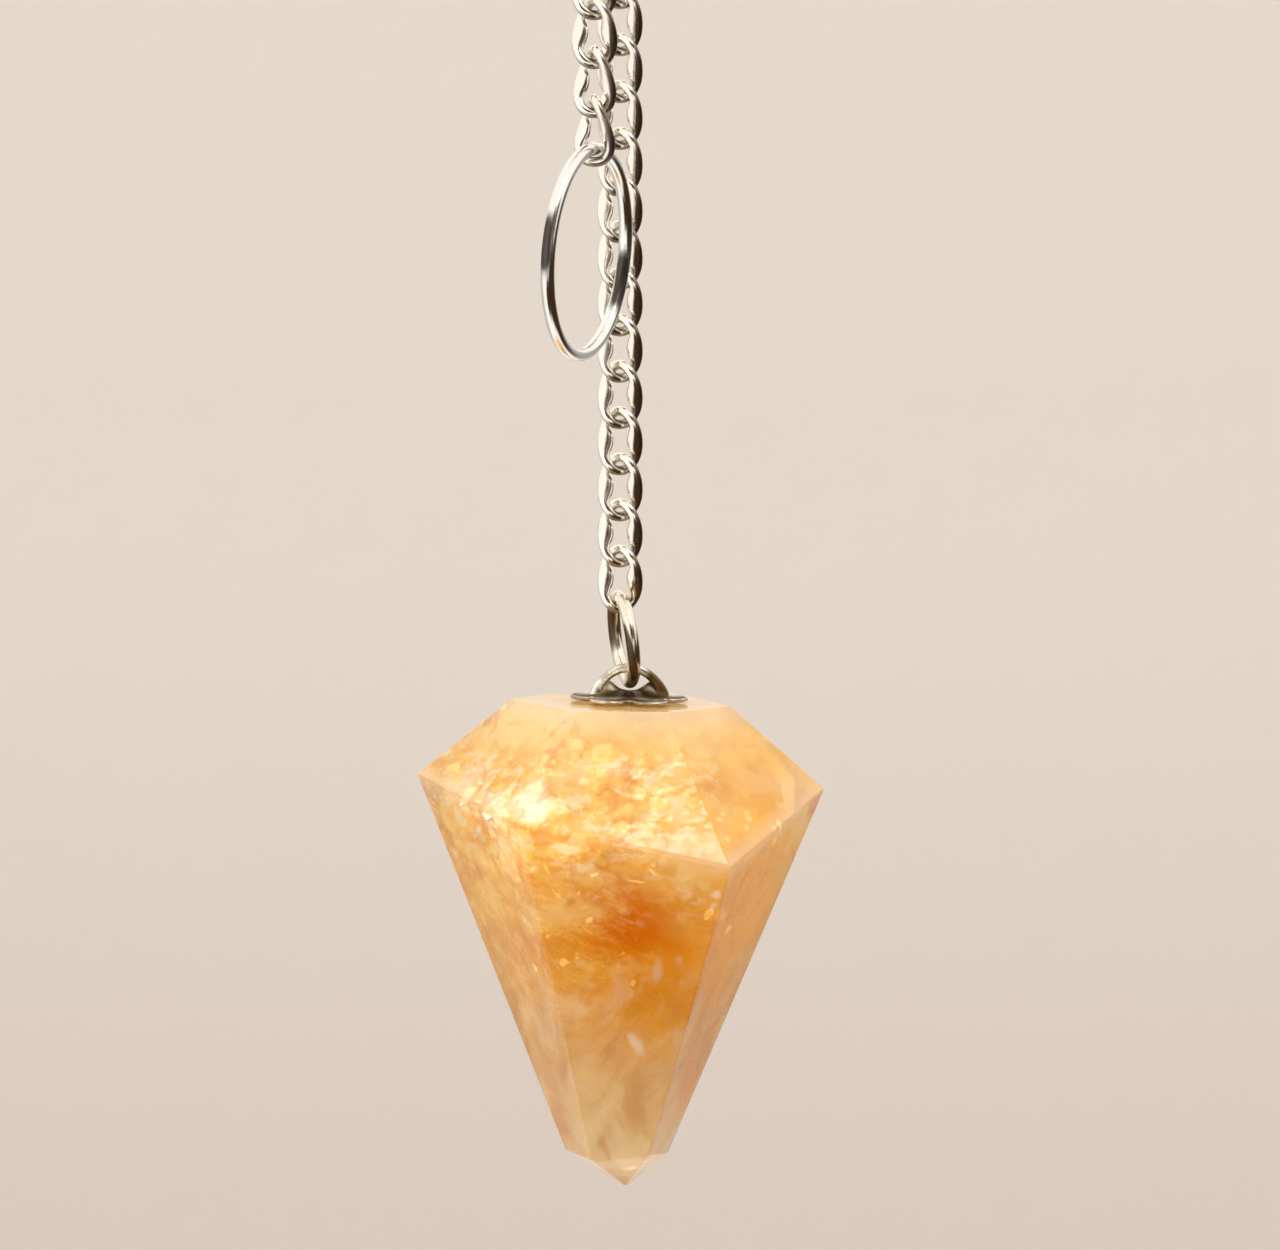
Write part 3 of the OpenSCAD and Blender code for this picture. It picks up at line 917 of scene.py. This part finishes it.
def edgeGlow(n, place):
    # mask of the painted edge highlights: 1 on the girdle and round the table, 0 a little way from them: by
    # the larger of the distances in mm to the facets above and below the edge
    def nearest(pick):
        gap = None
        for normal, reach in zip(facetNormal[pick], facetReach[pick]):
            level = n.vector("DOT_PRODUCT", place, tuple(-normal))
            own = n.math("ADD", level, float(reach - stoneOrigin @ normal) / mm)
            gap = own if gap is None else n.math("MINIMUM", gap, own)
        return gap

    up = facetNormal[:, 2]
    crown = nearest((up > 0.1) & (up < 0.95))
    long = nearest((up < -0.1) & (up > -0.6))
    table = nearest(up > 0.95)
    girdle = n.rise(n.math("MAXIMUM", crown, long), crystal["girdleReach"], 0.1)
    rimGlow = n.rise(n.math("MAXIMUM", crown, table), crystal["rimReach"], 0.1)
    return girdle, rimGlow


def shellMaterial():
    n = Finish("citrineShell")
    place = n.spot(stoneOrigin)
    tone, height = zoneColour(n, place, 0.22, 4.5, zones["wide"] + zones["small"])
    tone = addVeils(n, place, tone, height, 1.1)
    tone = addClouds(n, place, tone, height)
    tone, jolt = addCrystals(n, place, tone, height, 0.9)
    tone = addGlints(n, place, tone, height)
    milky = n.rise(n.noise(place, 0.5, 5.0, 0.6, 0.8), 0.45, 0.7)
    clear = n.math("SUBTRACT", 1.0, n.blob(place, *crystal["hazeHole"]))
    haze = n.math("ADD", n.times(milky, crystal["hazeMore"]), crystal["hazeLeast"])
    tone = n.paint(tone, tints["haze"], haze, clear)
    tone = addGlare(n, place, tone, jolt)
    girdle, rimGlow = edgeGlow(n, place)
    # the girdle's painted highlight is faint in front, and stronger on the right and at the far left
    side = n.axis(place, "X")
    share = n.math("ADD", n.times(n.rise(side, -2.0, 6.0), 0.6), 0.1)
    share = n.math("ADD", share, n.times(n.rise(side, -6.5, -9.5), 0.55))
    tone = n.paint(tone, tints["girdle"], girdle, share)
    tone = n.paint(tone, tints["rimGlow"], rimGlow, crystal["rimGlow"])
    n.set(Base_Color=tone, Transmission_Weight=stone["clearness"], IOR=1.54, Specular_IOR_Level=0.2)
    n.set(Roughness=n.grown(n.noise(place, 1.4, 4.0, 0.6), 0.10, 0.02))
    n.bump(n.noise(place, 0.35, 3.0, 0.5), 0.2, 0.0003)
    body = {"Color": colour(*stone["bodyTint"]), "Density": stone["bodyDepth"]}
    n.feed(n.output.inputs["Volume"], n.add("ShaderNodeVolumeAbsorption", body).outputs[0])
    return n.material


def coreMaterial():
    n = Finish("citrineCore")
    place = n.spot(stoneOrigin)
    tone, height = zoneColour(n, place, 0.25, 5.5, zones["wide"])
    tone = addVeils(n, place, tone, height, 1.0)
    tone = addClouds(n, place, tone, height)
    tone = addCrystals(n, place, tone, height, 1.0)[0]
    n.set(Base_Color=tone, Roughness=0.4, Specular_IOR_Level=0.2)
    # the core glows a little in its own colour: painted light for the light carried through the stone
    n.set(Emission_Color=tone, Emission_Strength=0.3)
    return n.material


flakes = {
    # middle x, y, z and spread x, y, z in mm from the middle of the table, how many, size in mm
    "rows": [
        (-8.0, -7.5, -5.4, 1.6, 1.6, 1.0, 60, 1.1),
        (-5.2, -8.5, -6.2, 1.8, 1.5, 1.2, 60, 1.0),
        (-4.0, -9.0, -8.4, 3.0, 1.5, 1.1, 110, 0.8),
        (0.5, -8.0, -5.0, 4.5, 2.0, 1.8, 120, 0.65),
        (5.0, -6.5, -6.0, 3.5, 2.0, 2.0, 60, 0.6),
        (-4.6, -7.0, -12.5, 3.5, 1.5, 2.0, 60, 0.6),
        (5.3, -8.0, -11.5, 0.4, 1.0, 1.8, 14, 0.7),
        (2.4, -7.0, -17.0, 1.2, 1.0, 1.2, 16, 0.7),
        (-3.6, -7.0, -18.0, 1.6, 1.0, 1.2, 20, 0.6),
        (1.3, -5.0, -20.6, 0.5, 1.0, 0.5, 6, 0.9),
        (1.0, -2.0, -28.0, 0.8, 1.2, 0.6, 8, 0.8),
        (0.0, 6.0, -7.0, 8.0, 4.0, 3.5, 200, 0.7),
    ],
    # single bright faces under the front facets: x, z and size in mm
    "faces": [
        (-10.0, -4.2, 1.3), (-9.0, -5.2, 1.5), (-7.3, -5.5, 1.9), (-6.7, -8.6, 1.3), (-6.0, -9.1, 1.8),
        (-5.4, -7.1, 1.3), (-5.2, -4.7, 2.3), (-5.0, -5.5, 2.0), (-4.1, -5.2, 1.8), (-2.5, -7.2, 1.4),
        (-2.8, -1.9, 1.2), (-1.1, -2.3, 1.8), (-1.2, -3.4, 1.0), (-0.1, -6.5, 1.7), (2.0, -5.1, 1.5),
        (1.0, -4.6, 1.2),
    ],
    "faceUnder": 0.5,        # mm that those lie under the facet
    "faceTilt": 0.12,        # how far they lean from it, by chance
    "under": 0.35,           # mm that a flake's middle lies under the facet, at least
    "within": 1.3,           # mm and at most
    "cover": 0.15,           # mm of stone left over a flake's edge
    "facing": (0, -0.8, 0.4),      # where the flakes lean to
    "pale": (255, 246, 222),
    "gold": (255, 214, 140),
    "glow": (255, 236, 196),
}


def facePlaces():
    # middle, facet direction and size of each single bright face: along Y from (x, z), the plane
    # n . p = reach - under of a front facet is met at y = (reach - under - n_x x - n_z z) / n_y, and the
    # facet met last is the stone's own surface
    x, z, size = np.array(flakes["faces"]).T * mm
    base = stoneOrigin + np.stack([x, 0 * x, z], -1)
    base[:, 1] = 0
    front = facetNormal[:, 1] < -0.05
    level = facetReach - flakes["faceUnder"] * mm - base @ facetNormal.T
    met = level[:, front] / facetNormal[front, 1]
    base[:, 1] = met.max(1)
    return base, facetNormal[front][met.argmax(1)], size


def makeFlakes(material):
    # each flake is an uneven hexagon r_k (u cos + v sin) about its middle, u and v square to its direction
    rng = np.random.default_rng(5)
    middles, sizes = [], []
    for x, y, z, sx, sy, sz, count, size in flakes["rows"]:
        spot = stoneOrigin + rng.normal((x, y, z), (sx, sy, sz), (count, 3)) * mm
        deep = depthInside(spot)
        keep = (deep > flakes["under"] * mm) & (deep < flakes["within"] * mm)
        middles.append(spot[keep])
        sizes.append(size * rng.uniform(0.5, 1.5, keep.sum()) * mm)
    middle, size = np.vstack(middles), np.concatenate(sizes)
    size = np.minimum(size, 2 * (depthInside(middle) - flakes["cover"] * mm))
    facing = unit(rng.normal(0, 1, middle.shape) + flakes["facing"])
    given, outward, givenSize = facePlaces()
    middle, size = np.vstack([middle, given]), np.concatenate([size, givenSize])
    facing = np.vstack([facing, unit(outward + rng.normal(0, flakes["faceTilt"], given.shape))])
    u = unit(np.cross(facing, rng.normal(0, 1, middle.shape)))
    v = np.cross(facing, u)
    a = np.arange(6) / 6 * 2 * np.pi
    r = size[:, None] / 2 * rng.uniform(0.55, 1.1, (len(middle), 6))
    ring = r[..., None] * (np.cos(a)[None, :, None] * u[:, None] + np.sin(a)[None, :, None] * v[:, None])
    verts = (middle[:, None] + ring).reshape(-1, 3)
    obj = makeMesh("stone_flakes", verts, np.arange(len(verts)).reshape(-1, 6), smooth=False)
    dress(obj, material, "pendant", "citrine")
    print("flakes", len(middle))


def flakeMaterial():
    n = Finish("citrineFlake")
    place = n.spot(stoneOrigin)
    tone = n.mix(n.noise(place, 1.2, 2.0), colour(*flakes["pale"]), colour(*flakes["gold"]))
    n.set(Base_Color=tone, Roughness=0.18)
    # the flakes glow a little: painted light for the sparkle off the stone's inner cracks
    n.set(Emission_Color=colour(*flakes["glow"]), Emission_Strength=0.6)
    return n.material


facetNormal, facetReach = stonePlanes()
makeShell(shellMaterial())
makeCore(coreMaterial())
makeFlakes(flakeMaterial())
print("stone made")


# Floor, backdrop and light

room = {
    "floorBelow": 0.42,      # m under the origin in the chain's fold
    "wallBehind": 0.95,
    "curve": 0.30,
    "width": 6.0,
    "front": -3.0,
    "top": 1.1,
    "paintHigh": (248, 246, 240),
    "paintLow": (222, 210, 202),
    "paintRise": (-0.40, -0.10),   # heights between which the backdrop goes from the darker low tone, a painted shade, to the pale one
    "bright": (255, 250, 244),
    "dark": (58, 42, 26),
    # direction of each dark part of the room, degrees from there to its core and to its edge, how dark
    "shade": [
        ((0.70, -0.48, -0.53), 28, 39, 1.0),
        ((0.90, 0.20, -0.32), 24, 38, 1.0),
        ((0.72, 0.66, -0.18), 18, 32, 0.6),
        ((-0.72, 0.60, -0.34), 18, 40, 0.5),
        ((0.0, 0.985, -0.17), 12, 34, 0.3),
        ((0.00, -0.66, -0.75), 16, 28, 1.0),
        ((0.15, -0.93, 0.33), 15, 25, 1.0),
        ((0.70, -0.66, 0.28), 14, 24, 0.9),
    ],
    "worldLevel": 1.16,
    "beyond": (214, 202, 190),     # what the camera sees past the floor's edge from other sides
    # name, place in m, width and height in m, power in W, tint
    "lamps": [
        ("leftWindow", (-0.42, -0.40, 0.0), (0.35, 0.5), 0.5, (255, 250, 244)),
        ("highRight", (0.22, -0.26, 0.38), (0.2, 0.2), 1.0, (255, 246, 234)),
    ],
}


def makeBackdrop():
    # floor, quarter circle and wall as one profile in Y and Z, drawn out along X
    a = np.linspace(0, np.pi / 2, 24)
    c = room["curve"]
    y = np.concatenate([[room["front"]], room["wallBehind"] - c + c * np.sin(a), [room["wallBehind"]]])
    z = np.concatenate([[0], c - c * np.cos(a), [room["top"] + room["floorBelow"]]]) - room["floorBelow"]
    x = np.array([-room["width"] / 2, room["width"] / 2])
    verts = np.stack(np.broadcast_arrays(x[:, None], y[None], z[None]), -1).reshape(-1, 3)
    obj = makeMesh("backdrop", verts, gridFaces(2, len(y), False, False))
    n = Finish("backdropPaint")
    place = n.add("ShaderNodeTexCoord").outputs["Object"]
    # darker low down: painted shade
    pale = n.rise(n.axis(place, "Z"), *room["paintRise"])
    tone = n.paint(colour(*room["paintLow"]), room["paintHigh"], pale)
    n.set(Base_Color=tone, Roughness=0.85)
    n.bump(n.noise(place, 60.0, 1.0), 0.15, 0.002)
    obj.data.materials.append(n.material)
    obj.visible_glossy = False       # the metal mirrors the soft room instead


def makeWorld():
    # bright all round, with soft dark parts for the metal and the facets to mirror; the camera itself sees
    # a plain tone there
    world = bpy.data.worlds.new("softRoom")
    bpy.context.scene.world = world
    world.use_nodes = True
    n = Nodes(world.node_tree)
    way = n.add("ShaderNodeTexCoord").outputs["Generated"]
    tone = colour(*room["bright"])
    for direction, core, edge, strength in room["shade"]:
        toward = n.vector("DOT_PRODUCT", way, Vector(direction).normalized())
        near = n.rise(toward, math.cos(math.radians(edge)), math.cos(math.radians(core)))
        tone = n.paint(tone, room["dark"], near, strength)
    seen = n.add("ShaderNodeLightPath").outputs["Is Camera Ray"]
    back = n.tree.nodes["Background"]
    n.feed(back.inputs["Color"], n.paint(tone, room["beyond"], seen))
    n.feed(back.inputs["Strength"], room["worldLevel"])


def makeLamp(name, place, size, power, tint):
    # a soft rectangle of light that faces the stone
    data = bpy.data.lights.new(name, "AREA")
    data.shape = "RECTANGLE"
    data.size, data.size_y = size
    data.energy = power
    data.color = colour(*tint)[:3]
    lamp = bpy.data.objects.new(name, data)
    bpy.context.collection.objects.link(lamp)
    lamp.location = place
    lamp.rotation_mode = "QUATERNION"
    lamp.rotation_quaternion = (Vector(stoneOrigin) - Vector(place)).to_track_quat("-Z", "Y")


makeBackdrop()
makeWorld()
for lampRow in room["lamps"]:
    makeLamp(*lampRow)
bpy.context.scene.view_settings.view_transform = "Standard"
print("room and lights made")
